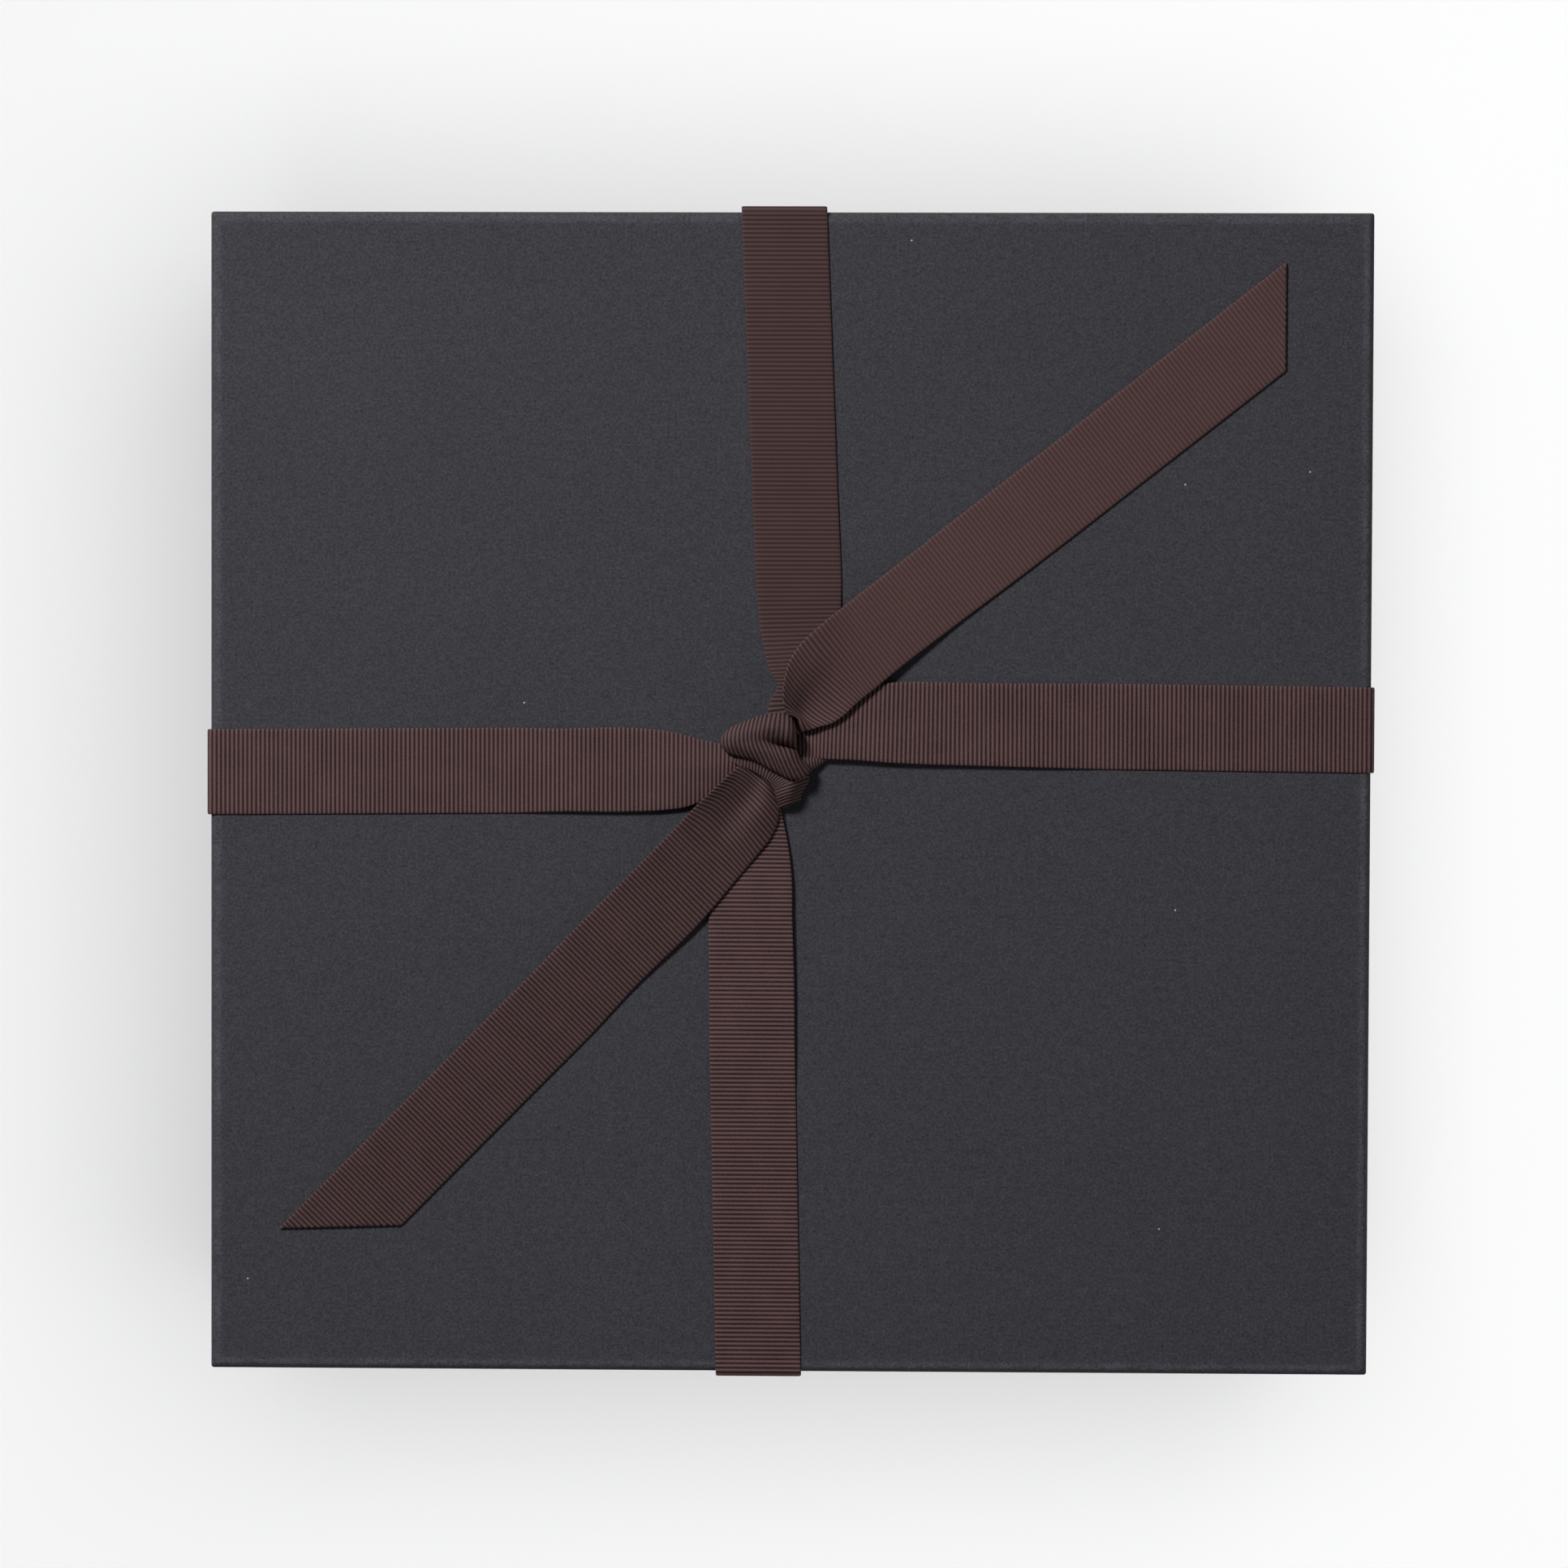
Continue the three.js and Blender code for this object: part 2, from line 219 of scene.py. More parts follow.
def trim(piece, point, direction):
    """Cuts a strip off beyond a plane and closes the cut."""
    work = bmesh.new()
    work.from_mesh(piece.data)
    everything = work.verts[:] + work.edges[:] + work.faces[:]
    cut = bmesh.ops.bisect_plane(
        work, geom=everything, plane_co=Vector(point), plane_no=Vector(direction), clear_outer=True
    )
    edges = [e for e in cut["geom_cut"] if isinstance(e, bmesh.types.BMEdge)]
    bmesh.ops.contextual_create(work, geom=edges)
    bmesh.ops.recalc_face_normals(work, faces=work.faces)
    work.to_mesh(piece.data)
    work.free()


def at_height(points):
    """Guide points given in millimetres, with heights over the lid's top, as metres."""
    sections = np.array(points, float) * MM
    sections[..., 2] += LID_TOP
    return sections


def blend_across(left, right, crown=0.0, guides=5):
    """A cross section between two edge points, raised by crown in the middle."""
    shares = np.linspace(0, 1, guides)[:, None]
    section = np.array(left) * (1 - shares) + np.array(right) * shares
    section[:, 2] += crown * 4 * (shares * (1 - shares))[:, 0]
    return section.tolist()


# ------------------------------------------------------------------ ribbon arms
# Each arm's cross sections near the knot: left edge, right edge and crown, in millimetres over
# the lid's top, from the knot outwards. edge_middle is where its middle crosses the lid's edge,
# and slack is how far it bows out there. rib_shading is as woven_strip takes it: how strongly
# the painted highlight on the ribs' crests and the painted shade in their valleys show.
LIE = 0.3  # height of a ribbon's middle layer when it lies on the lid
ARMS = {
    "right": {
        "heading": 0,
        "edge_middle": 17.0,
        "slack": 0.5,
        "rib_shading": (1.0, 0.95, 1.0),
        "near": [
            ((0.0, 14.5, 0.5), (0.5, 9.3, 0.6), 0.1),
            ((4.5, 18.5, 0.6), (4.6, 9.3, 1.0), 0.4),
            ((9.5, 23.5, 0.8), (9.0, 9.1, 1.4), 0.4),
            ((16.5, 27.6, 0.8), (16.0, 8.9, 1.5), 0.2),
            ((26.5, 28.8, 0.8), (26.0, 8.2, 1.4), 0),
            ((48.0, 28.7, 0.7), (48.0, 7.5, 1.0), 0),
            ((69.0, 28.7, 0.6), (69.0, 7.0, 0.7), 0),
        ],
    },
    "back": {
        "heading": 90,
        "edge_middle": 1.8,
        "slack": 1.3,
        "rib_shading": (1.0, 0.3, 14 * MM),
        "near": [
            ((-6.4, 18.5, 3.6), (2.5, 20.5, 3.0), 0.2),
            ((-4.6, 24.5, 3.0), (3.2, 24.5, 2.6), 0.2),
            ((-3.0, 27.9, 2.6), (4.6, 27.9, 2.2), 0.2),
            ((-4.3, 30.4, 2.2), (7.5, 31.0, 1.6), 0.3),
            ((-6.0, 34.5, 1.4), (10.6, 35.5, 0.9), 0.3),
            ((-7.4, 41.4, 0.6), (12.9, 42.0, 0.5), 0.1),
            ((-8.4, 50.0, LIE), (13.3, 50.2, LIE), 0),
            ((-9.4, 68.0, LIE), (12.7, 68.0, LIE), 0),
        ],
    },
    "left": {
        "heading": 180,
        "edge_middle": -5.1,
        "slack": 0.6,
        "rib_shading": (1.0, 1.0, 1.0),
        "near": [
            ((-12.0, 6.0, 1.2), (-11.0, 12.0, 1.4), 0.2),
            ((-16.5, 2.0, 1.1), (-16.2, 12.6, 1.4), 0.4),
            ((-21.5, -1.4, 1.1), (-21.5, 13.6, 1.1), 0.3),
            ((-26.0, -3.3, 1.1), (-26.0, 14.8, 0.9), 0.2),
            ((-32.5, -4.3, 1.1), (-32.5, 16.2, 0.8), 0.1),
            ((-41.0, -4.7, 1.0), (-41.0, 16.9, 0.7), 0),
            ((-60.0, -4.8, 0.8), (-60.0, 16.6, 0.6), 0),
        ],
    },
    "front": {
        "heading": 270,
        "edge_middle": -7.5,
        "slack": 1.0,
        "rib_shading": (1.0, 1.0, 1.0),
        "near": [
            ((-2.6, -2.6, 1.2), (-8.0, -1.4, 1.0), 0.2),
            ((-1.7, -6.2, 0.9), (-11.0, -5.6, 0.8), 0.3),
            ((-0.3, -12.8, 0.7), (-16.0, -12.5, 0.4), 0.1),
            ((0.7, -21.4, 0.9), (-19.6, -21.4, LIE), 0.1),
            ((0.9, -31.9, 1.0), (-20.6, -31.9, 0.4), 0),
            ((1.4, -47.0, 0.9), (-20.5, -47.0, 0.6), 0),
            ((1.7, -67.0, 0.7), (-20.3, -67.0, 0.6), 0),
        ],
    },
}
TOP_STEP = 12 * MM  # between cross sections along the flat run over the lid
LAST_FLAT = 2 * MM  # from the last flat cross section to the bend
BOW_RUN = 12 * MM  # top of the lid over which the slack grows
BOW_FALL = 18 * MM  # wall over which it fades again


def over_the_edge(heading, start_middle, start_reach, edge_middle, slack):
    """Cross sections on out over the lid, down the skirt, round the rim and up inside it."""
    turn = math.radians(heading)
    out = np.array([math.cos(turn), math.sin(turn), 0])
    side = np.array([-math.sin(turn), math.cos(turn), 0])
    half_stack = GLUE + RIBBON_THICKNESS / 2
    face = LID_HALF + half_stack
    top = LID_TOP + half_stack
    under = LID_RIM - half_stack
    inside = LINING_INNER - half_stack
    bend = BEND_RADIUS + RIBBON_THICKNESS / 2
    rim = RIM_RADIUS + RIBBON_THICKNESS / 2
    flat_end = face - bend - 2 * LAST_FLAT
    path = [(reach, top) for reach in np.arange(start_reach, flat_end, TOP_STEP)[1:]]
    path.append((face - bend - LAST_FLAT, top))
    quarter = np.radians(np.linspace(90, 0, 9))
    path += [(face - bend + bend * math.cos(a), top - bend + bend * math.sin(a)) for a in quarter]
    path += [(face, z) for z in np.linspace(top - bend, under + rim, 6)[1:-1]]
    quarter = np.radians(np.linspace(0, -90, 7))
    path += [(face - rim + rim * math.cos(a), under + rim + rim * math.sin(a)) for a in quarter]
    quarter = np.radians(np.linspace(-90, -180, 7))
    path += [(inside + rim + rim * math.cos(a), under + rim + rim * math.sin(a)) for a in quarter]
    path += [(inside, z) for z in np.linspace(under + rim, LID_RIM + RETURN_LENGTH, 5)[1:]]
    slant = (edge_middle - start_middle) / (face - start_reach)
    sections = []
    for reach, z in path:
        run = max(0, 1 - max(0, face - bend - reach) / BOW_RUN)
        fall = max(0, 1 - (top - z) / BOW_FALL)
        bow = slack * run * fall**2
        middle = start_middle + slant * (reach - start_reach)
        centre = out * (reach + bow) + side * middle + np.array([0, 0, z])
        places = np.linspace(0.5, -0.5, 5)
        sections.append([centre + side * RIBBON_WIDTH * share for share in places])
    return np.array(sections)


def ribbon_arm(side):
    """One arm of the cross, from under the knot to its glued end inside the skirt."""
    arm = ARMS[side]
    name = f"ribbon_arm_{side}"
    near = at_height([blend_across(*section) for section in arm["near"]])
    last = near[-1]
    turn = math.radians(arm["heading"])
    out = np.array([math.cos(turn), math.sin(turn), 0])
    left = np.array([-math.sin(turn), math.cos(turn), 0])
    start_reach = float(last.mean(axis=0) @ out)
    start_middle = float(last.mean(axis=0) @ left)
    far = over_the_edge(
        arm["heading"], start_middle, start_reach, arm["edge_middle"] * MM, arm["slack"] * MM
    )
    sections = np.concatenate([near, far])
    piece, length, _ = woven_strip(f"{name}_woven", sections, rib_shading=arm["rib_shading"])
    # The back arm takes the darker copy, which paints shade onto it.
    finish_ribbon(piece, GROSGRAIN_PAINTED_SHADE if side == "back" else GROSGRAIN)
    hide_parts(name)
    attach(piece, "lid")


def finish_ribbon(piece, material):
    """Gives a ribbon piece its cloth's material."""
    piece.data.materials.append(material)


# ------------------------------------------------------------------ ribbon tails
# Each tail's cross sections near the knot, in millimetres over the lid's top: five points from
# its left edge to its right edge. tip is a point on its cut, cut is the way that the cut faces,
# and lifted is how far its right edge is raised where the laid stretch begins.
TAILS = {
    "right": {
        "heading": 38.1,
        "near": [
            [(-2.0, 18.4, 1.2), (-0.6, 17.6, 1.2), (0.2, 16.6, 1.1), (0.6, 15.6, 1.0), (1.0, 14.4, 0.8)],
            [(-0.8, 20.0, 2.0), (1.0, 19.6, 1.8), (2.0, 18.6, 1.5), (2.6, 17.3, 1.2), (3.0, 15.9, 0.9)],
            [(-0.4, 20.9, 4.6), (1.4, 20.4, 4.4), (2.6, 19.4, 4.1), (3.2, 18.0, 3.6), (3.8, 16.3, 2.6)],
            [(-1.4, 22.6, 5.5), (0.6, 21.4, 4.5), (2.9, 19.8, 3.6), (4.4, 18.2, 3.3), (5.6, 16.7, 2.8)],
            [(-1.6, 25.4, 6.3), (0.6, 22.7, 4.6), (3.0, 20.5, 2.9), (5.2, 18.6, 2.8), (7.4, 17.3, 2.8)],
            [(-1.3, 29.2, 6.8), (1.2, 25.8, 5.0), (4.2, 22.8, 2.8), (7.4, 20.2, 2.4), (10.6, 18.2, 2.7)],
            [(-0.2, 33.6, 6.6), (2.8, 29.6, 5.1), (6.4, 26.0, 3.0), (10.0, 22.9, 2.4), (13.8, 20.2, 2.6)],
            [(2.6, 38.4, 5.6), (6.0, 34.0, 4.6), (9.9, 30.4, 3.1), (13.6, 27.1, 2.5), (17.4, 23.6, 2.4)],
            blend_across((8.4, 43.9, 4.4), (21.6, 27.0, 2.0), -0.4),
            blend_across((15.3, 49.5, 2.5), (28.8, 33.0, 1.5)),
            blend_across((27.4, 59.0, 0.9), (41.0, 42.4, 0.7)),
            blend_across((47.0, 74.5, 0.42), (60.6, 57.2, 0.42)),
        ],
        "rib_shading": (1.0, 0.2, 34 * MM),
        "lifted": 0.0,
        "tip": (127.3, 123.3),
        "cut": (1.0, 0.0),
    },
    "left": {
        "heading": 225.4,
        "near": [
            [(-1.5, 6.5, 0.9), (-4.0, 7.2, 1.1), (-6.5, 8.2, 1.2), (-8.8, 9.2, 1.2), (-11.0, 10.2, 1.2)],
            [(-3.9, 2.0, 1.5), (-6.0, 3.9, 2.0), (-8.0, 5.4, 1.9), (-10.2, 6.9, 2.0), (-12.4, 8.2, 1.9)],
            [(-2.8, -1.6, 1.7), (-5.6, 1.2, 2.7), (-8.2, 3.5, 2.0), (-10.9, 5.7, 2.5), (-13.4, 7.1, 3.1)],
            [(-2.7, -6.0, 1.6), (-6.0, -2.0, 2.8), (-9.4, 1.2, 1.7), (-12.8, 4.0, 2.7), (-15.6, 5.1, 3.9)],
            [(-4.6, -11.0, 1.4), (-8.6, -6.4, 2.5), (-12.2, -2.6, 1.4), (-15.6, 0.7, 2.6), (-18.8, 1.9, 3.9)],
            [
                (-8.6, -16.2, 1.3), (-12.4, -11.4, 1.7), (-16.0, -7.4, 1.3),
                (-19.6, -3.9, 2.4), (-23.2, -2.3, 3.7),
            ],
            blend_across((-13.6, -22.2, 1.2), (-28.6, -8.0, 3.3), -0.5),
            blend_across((-21.4, -31.6, 1.1), (-36.6, -16.3, 2.6), -0.3),
            blend_across((-40.0, -50.4, 0.5), (-55.4, -35.2, 1.5)),
        ],
        "rib_shading": (1.0, 0.8, 30 * MM),
        "lifted": 1.0 * MM,
        "tip": (-116.2, -112.9),
        "cut": (0.03, -1.0),
    },
}
TAIL_LIE = 0.36 * MM  # height of a laid tail's middle layer
TAIL_SPARE = 16 * MM  # strip laid beyond the trimmed end


def ribbon_tail(side):
    """One free tail, from under the knot to its slanted cut."""
    tail = TAILS[side]
    name = f"ribbon_tail_{side}"
    near = at_height(tail["near"])
    turn = math.radians(tail["heading"])
    out = np.array([math.cos(turn), math.sin(turn), 0])
    left = np.array([-math.sin(turn), math.cos(turn), 0])
    tip = np.array([*tail["tip"], 0]) * MM
    start = float(near[-1].mean(axis=0) @ out)
    end = float(tip @ out) + TAIL_SPARE
    middle = float(tip @ left)
    sections = list(near)
    for step in np.linspace(0, 1, 8)[1:]:
        centre = out * (start + (end - start) * step) + left * middle
        centre[2] = LID_TOP + TAIL_LIE
        lifted = np.array([0, 0, tail["lifted"] * (1 - step)])
        places = np.linspace(0.5, -0.5, 5)
        sections.append(
            [centre + left * RIBBON_WIDTH * s + lifted * (0.5 - s) for s in places]
        )
    piece, length, _ = woven_strip(f"{name}_woven", np.array(sections), rib_shading=tail["rib_shading"])
    trim(piece, tip + np.array([0, 0, LID_TOP]), (*tail["cut"], 0))
    # The left tail takes the darker copy, which paints shade onto it.
    finish_ribbon(piece, GROSGRAIN_PAINTED_SHADE if side == "left" else GROSGRAIN)
    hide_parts(name)
    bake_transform(piece)


# ------------------------------------------------------------------ knot
# Cross sections of the strand over the knot, from its left end to its right end. Each has nine
# points, from the back edge over the crown and the crease to the front edge.
KNOT_OVER = [
    [
        (-13.6, 14.8, 1.2), (-14.0, 14.2, 1.2), (-14.2, 13.7, 1.2), (-14.3, 13.2, 1.2), (-14.4, 12.9, 1.2),
        (-14.3, 12.5, 1.2), (-14.2, 12.1, 1.2), (-14.0, 11.6, 1.2), (-13.6, 11.0, 1.2),
    ],
    [
        (-16.5, 15.3, 2.1), (-17.2, 14.7, 2.6), (-17.6, 14.0, 3.0), (-17.6, 13.5, 3.1), (-17.6, 13.0, 3.1),
        (-17.5, 12.5, 3.0), (-17.2, 12.0, 2.8), (-16.8, 11.5, 2.5), (-16.0, 11.2, 1.8),
    ],
    [
        (-14.8, 16.2, 2.0), (-15.4, 16.8, 3.2), (-16.0, 15.5, 4.3), (-16.1, 14.4, 4.7), (-16.1, 13.5, 4.7),
        (-16.0, 12.6, 4.6), (-15.7, 11.7, 4.3), (-15.1, 10.5, 3.4), (-14.2, 10.7, 2.2),
    ],
    [
        (-12.2, 17.4, 2.4), (-12.7, 18.1, 3.8), (-13.4, 16.4, 5.4), (-13.6, 15.0, 5.9), (-13.6, 13.7, 6.0),
        (-13.4, 12.5, 5.8), (-13.0, 11.3, 5.2), (-12.1, 9.7, 4.1), (-11.5, 10.2, 2.8),
    ],
    [
        (-9.8, 18.2, 2.6), (-10.3, 19.1, 4.2), (-10.9, 16.9, 6.0), (-11.1, 15.2, 6.5), (-11.0, 13.6, 6.5),
        (-10.7, 12.2, 6.4), (-10.1, 10.7, 5.9), (-9.0, 8.9, 4.6), (-8.2, 9.6, 3.2),
    ],
    [
        (-7.6, 18.9, 2.8), (-8.0, 19.9, 4.4), (-8.6, 17.3, 6.3), (-8.9, 15.4, 6.7), (-8.8, 13.8, 6.7),
        (-8.3, 12.1, 6.7), (-7.4, 10.2, 6.3), (-5.9, 7.1, 4.8), (-4.9, 8.2, 3.4),
    ],
    [
        (-5.2, 19.4, 3.0), (-5.6, 20.5, 4.4), (-6.2, 17.6, 6.5), (-6.6, 15.4, 6.6), (-6.5, 13.8, 6.1),
        (-5.9, 12.6, 6.4), (-4.7, 10.0, 6.5), (-2.5, 5.4, 4.8), (-1.4, 7.0, 3.4),
    ],
    [
        (-3.0, 19.6, 3.0), (-3.3, 20.8, 4.3), (-3.8, 17.6, 6.5), (-4.2, 15.0, 6.0), (-4.4, 13.2, 4.7),
        (-3.8, 12.1, 5.8), (-2.6, 9.4, 6.4), (-0.2, 4.2, 4.7), (0.6, 5.8, 3.3),
    ],
    [
        (-1.4, 19.4, 2.8), (-1.5, 20.7, 4.1), (-1.6, 17.4, 6.3), (-1.9, 14.4, 5.6), (-2.1, 12.6, 3.0),
        (-1.5, 11.5, 5.3), (-0.4, 8.8, 6.0), (1.9, 4.0, 4.4), (2.2, 5.6, 3.0),
    ],
    [
        (0.0, 18.8, 2.4), (0.2, 20.1, 3.6), (0.3, 17.0, 6.1), (0.0, 13.8, 5.4), (-0.1, 12.3, 2.4),
        (0.6, 11.0, 4.7), (1.6, 8.2, 5.2), (3.7, 4.4, 3.9), (3.6, 5.8, 2.6),
    ],
    [
        (0.7, 18.0, 1.6), (1.0, 19.2, 2.3), (1.5, 16.6, 4.8), (1.6, 13.8, 4.3), (1.6, 12.1, 2.0),
        (2.1, 10.4, 3.4), (3.2, 7.9, 4.1), (5.0, 5.5, 3.1), (4.6, 6.6, 2.0),
    ],
    [
        (0.3, 17.4, 0.6), (0.6, 17.9, 0.8), (1.0, 15.6, 0.9), (1.1, 13.2, 0.8), (1.2, 12.0, 0.7),
        (2.0, 9.8, 1.6), (4.3, 8.0, 2.6), (5.6, 6.5, 2.1), (5.0, 7.2, 1.2),
    ],
    [
        (-0.4, 16.6, 0.4), (-0.2, 16.8, 0.5), (0.0, 15.0, 0.5), (0.1, 13.0, 0.5), (0.2, 11.8, 0.5),
        (1.2, 9.8, 0.8), (4.0, 8.4, 1.2), (5.0, 7.2, 1.0), (4.6, 7.4, 0.7),
    ],
]
# The strand that comes out under it, and the small end tucked in at its right.
KNOT_UNDER = [
    blend_across((-14.3, 10.6, 1.6), (-15.3, 8.6, 1.3)),
    blend_across((-13.0, 10.5, 2.6), (-13.5, 7.6, 2.4), 0.1),
    blend_across((-10.4, 9.9, 3.3), (-10.5, 6.5, 3.0), 0.2),
    blend_across((-7.6, 8.6, 3.5), (-8.0, 5.2, 3.3), 0.2),
    blend_across((-4.4, 7.4, 3.6), (-6.0, 3.8, 3.4), 0.2),
    [(1.5, 6.4, 2.8), (0.0, 5.3, 3.5), (-1.5, 4.2, 3.7), (-3.0, 3.2, 3.6), (-4.5, 2.3, 3.2)],
    [(5.2, 4.3, 1.2), (3.2, 3.6, 2.4), (0.6, 2.6, 4.1), (-1.7, 1.8, 3.7), (-3.8, 0.9, 2.9)],
    [(4.3, 2.0, 1.0), (2.6, 1.5, 2.1), (0.6, 0.6, 3.9), (-1.5, -0.1, 3.5), (-3.3, -0.8, 2.7)],
    [(3.2, 0.1, 0.9), (2.3, -0.2, 1.7), (0.6, -0.8, 3.2), (-1.3, -1.5, 2.9), (-2.9, -2.2, 2.1)],
    [(2.8, -1.7, 0.7), (1.8, -2.0, 1.2), (0.4, -2.5, 1.9), (-1.1, -3.1, 1.8), (-2.4, -3.7, 1.2)],
    [(2.0, -1.6, 0.6), (1.2, -1.9, 0.7), (0.2, -2.3, 0.8), (-0.9, -2.8, 0.8), (-2.0, -3.2, 0.7)],
]
KNOT_TUCK = [
    blend_across((1.6, 9.6, 1.6), (2.6, 6.0, 2.0), 0.6),
    blend_across((4.4, 9.6, 1.2), (5.0, 6.0, 1.7), 0.7),
    blend_across((6.6, 9.6, 0.9), (6.9, 6.9, 1.1), 0.5),
    blend_across((8.4, 9.7, 0.7), (8.5, 8.0, 0.8), 0.3),
    blend_across((10.4, 9.8, 0.5), (10.3, 9.2, 0.5)),
]
# Rib spacing of each strand, measured down its middle line.
OVER_PITCH = 1.22 * MM
UNDER_PITCH = 0.9 * MM
TUCK_PITCH = 0.8 * MM


def knot_piece(name, sections, pitch):
    """One strand of the knot, which rides with the lid."""
    piece, length, width = woven_strip(name, at_height(sections), pitch=pitch)
    # Every knot strand takes the darker copy, which paints shade onto it.
    finish_ribbon(piece, GROSGRAIN_PAINTED_SHADE)
    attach(piece, "lid")
    return piece, length, width


def ribbon_knot():
    """The three visible strands of the knot, which stand for one folded sheet."""
    over, length, width = knot_piece("ribbon_knot_over", KNOT_OVER, OVER_PITCH)
    under = knot_piece("ribbon_knot_under", KNOT_UNDER, UNDER_PITCH)[0]
    tuck = knot_piece("ribbon_knot_tuck", KNOT_TUCK, TUCK_PITCH)[0]
    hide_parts("ribbon_knot")


# ------------------------------------------------------------------ wrapped covers
COVER_THICKNESS = 0.25 * MM
COVER_WALL = 2.8 * MM  # cover, board and turned-in cover together
TURN_IN = 18 * MM
TURN_UNDER = 16.5 * MM
PANEL_EDGE_RADIUS = 1.6 * MM
RIM_EDGE_RADIUS = 0.9 * MM
CORNER_RADIUS = 0.7 * MM
SEAM_FROM_CORNER = 0.9 * MM
SEAM_DEPTH = 0.1 * MM
PANEL_RIDGE = 0.04 * MM  # height of a low ridge along the panel's edges
RIDGE_PLACES = (4.6 * MM, 3.2 * MM, 2.3 * MM)  # in from the wall: its foot and its two shoulders
PANEL_MIDDLE = 12 * MM  # half width of the face that closes a whole panel
LIT_SHOULDER_PLACE = 2 * MM  # in from the wall, where the panel is palest: rubbed there, and a painted highlight along its shoulder
LIT_SHOULDER_REACH = 1.3 * MM  # how far the rubbing and the painted highlight reach from there
WORN_LIP = 1.2 * MM  # how far the rubbing reaches from the rim's outer corner
CRISP_ANGLE = 32  # degrees between faces, above which an edge stays crisp


def rounded_path(corners, steps=6):
    """A path through (half width, height, radius) corners, each with an arc of its radius."""
    path = []
    for index, (half, z, radius) in enumerate(corners):
        corner = Vector((half, z))
        if radius == 0:
            path.append(tuple(corner))
            continue
        before = (Vector(corners[index - 1][:2]) - corner).normalized()
        after = (Vector(corners[index + 1][:2]) - corner).normalized()
        centre = corner + (before + after) * radius
        for step in range(steps + 1):
            turn = math.pi / 2 * step / steps
            arc = -after * math.cos(turn) - before * math.sin(turn)
            path.append(tuple(centre + arc * radius))
    return path


def square_loop(half, corner_radius, seam):
    """Points round a rounded square, with the paper's edge seen beside each corner."""
    straight = half - corner_radius
    near = SEAM_FROM_CORNER
    inner = np.linspace(-straight + 1.2 * near, straight - 1.2 * near, 19)
    along = [-straight, -straight + near, *inner, straight - near, straight]
    points = []
    for side in range(4):
        turn = math.pi / 2 * side
        ahead = Vector((math.cos(turn), math.sin(turn)))
        left = Vector((-math.sin(turn), math.cos(turn)))
        for place in along:
            by_corner = straight - abs(place) <= 1.01 * near
            inset = seam if side % 2 == 0 and by_corner else 0.0
            points.append(ahead * (half - inset) + left * place)
        centre = (ahead + left) * straight
        for step in range(1, 6):
            turn_in = math.pi / 2 * step / 6
            point = centre + (ahead * math.cos(turn_in) + left * math.sin(turn_in)) * corner_radius
            from_face = 1 - step / 6 if side % 2 == 0 else step / 6
            along_x = ahead if side % 2 == 0 else left
            points.append(point - along_x * seam * from_face)
    return points


def wrapped_cover(name, node, body, outside, face, rim, panel_end):
    """The paper wrapped over a tray: panel, walls, rim and the strip turned in."""
    down = 1 if face > rim else -1
    skin = COVER_THICKNESS * down
    inside = outside - COVER_WALL
    turned = rim + TURN_IN * down
    foot, first, second = RIDGE_PLACES
    outer = [
        (panel_end, face, 0),
        (outside - foot, face, 0),
        (outside - first, face + PANEL_RIDGE * down, 0),
        (outside - second, face + PANEL_RIDGE * down, 0),
        (outside, face, PANEL_EDGE_RADIUS),
        (outside, rim, RIM_EDGE_RADIUS),
        (inside, rim, RIM_EDGE_RADIUS),
        (inside, turned, 0),
    ]
    inner = [
        (inside + COVER_THICKNESS, turned, 0),
        (inside + COVER_THICKNESS, rim + skin, RIM_EDGE_RADIUS - COVER_THICKNESS),
        (outside - COVER_THICKNESS, rim + skin, RIM_EDGE_RADIUS - COVER_THICKNESS),
        (outside - COVER_THICKNESS, face - skin, PANEL_EDGE_RADIUS - COVER_THICKNESS),
        (panel_end, face - skin, 0),
    ]
    path = rounded_path(outer + inner)
    count = len(path)
    loops = []
    worn_and_lit = []
    for half, z in path:
        skirt = half > outside - 0.1 * MM and abs(z - face) > PANEL_EDGE_RADIUS * 0.9
        loops.append([(*p, z) for p in square_loop(half, CORNER_RADIUS, SEAM_DEPTH if skirt else 0)])
        # The paleness near the shoulder is partly rubbing and partly a painted highlight; at the lip it is
        # wear.
        shoulder = math.hypot(half - outside + LIT_SHOULDER_PLACE, z - face)
        lip = math.hypot(half - outside, z - rim)
        worn_and_lit.append(max(0.0, 1 - shoulder / LIT_SHOULDER_REACH, 1 - lip / WORN_LIP))
    around = len(loops[0])
    vertices = [point for loop in loops for point in loop]
    faces = []
    whole_panel = panel_end <= PANEL_MIDDLE
    for row in range(count - 1 if whole_panel else count):
        following = (row + 1) % count
        for step in range(around):
            ahead = (step + 1) % around
            faces.append(
                (
                    row * around + step,
                    row * around + ahead,
                    following * around + ahead,
                    following * around + step,
                )
            )
    if whole_panel:
        faces.append(tuple(range(around)))
        faces.append(tuple(range((count - 1) * around, count * around)))
    mesh = bpy.data.meshes.new(name)
    mesh.from_pydata(vertices, [], faces)
    mesh.validate()
    attribute = mesh.attributes.new("worn_and_lit", "FLOAT", "POINT")
    attribute.data.foreach_set("value", np.repeat(worn_and_lit, around).astype(np.float32))
    piece = bpy.data.objects.new(name, mesh)
    bpy.context.scene.collection.objects.link(piece)
    fix_facing(piece)
    mesh.shade_smooth()
    mesh.set_sharp_from_angle(angle=math.radians(CRISP_ANGLE))
    mesh.materials.append(COVER_PAPER)
    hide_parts(node)
    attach(piece, body)


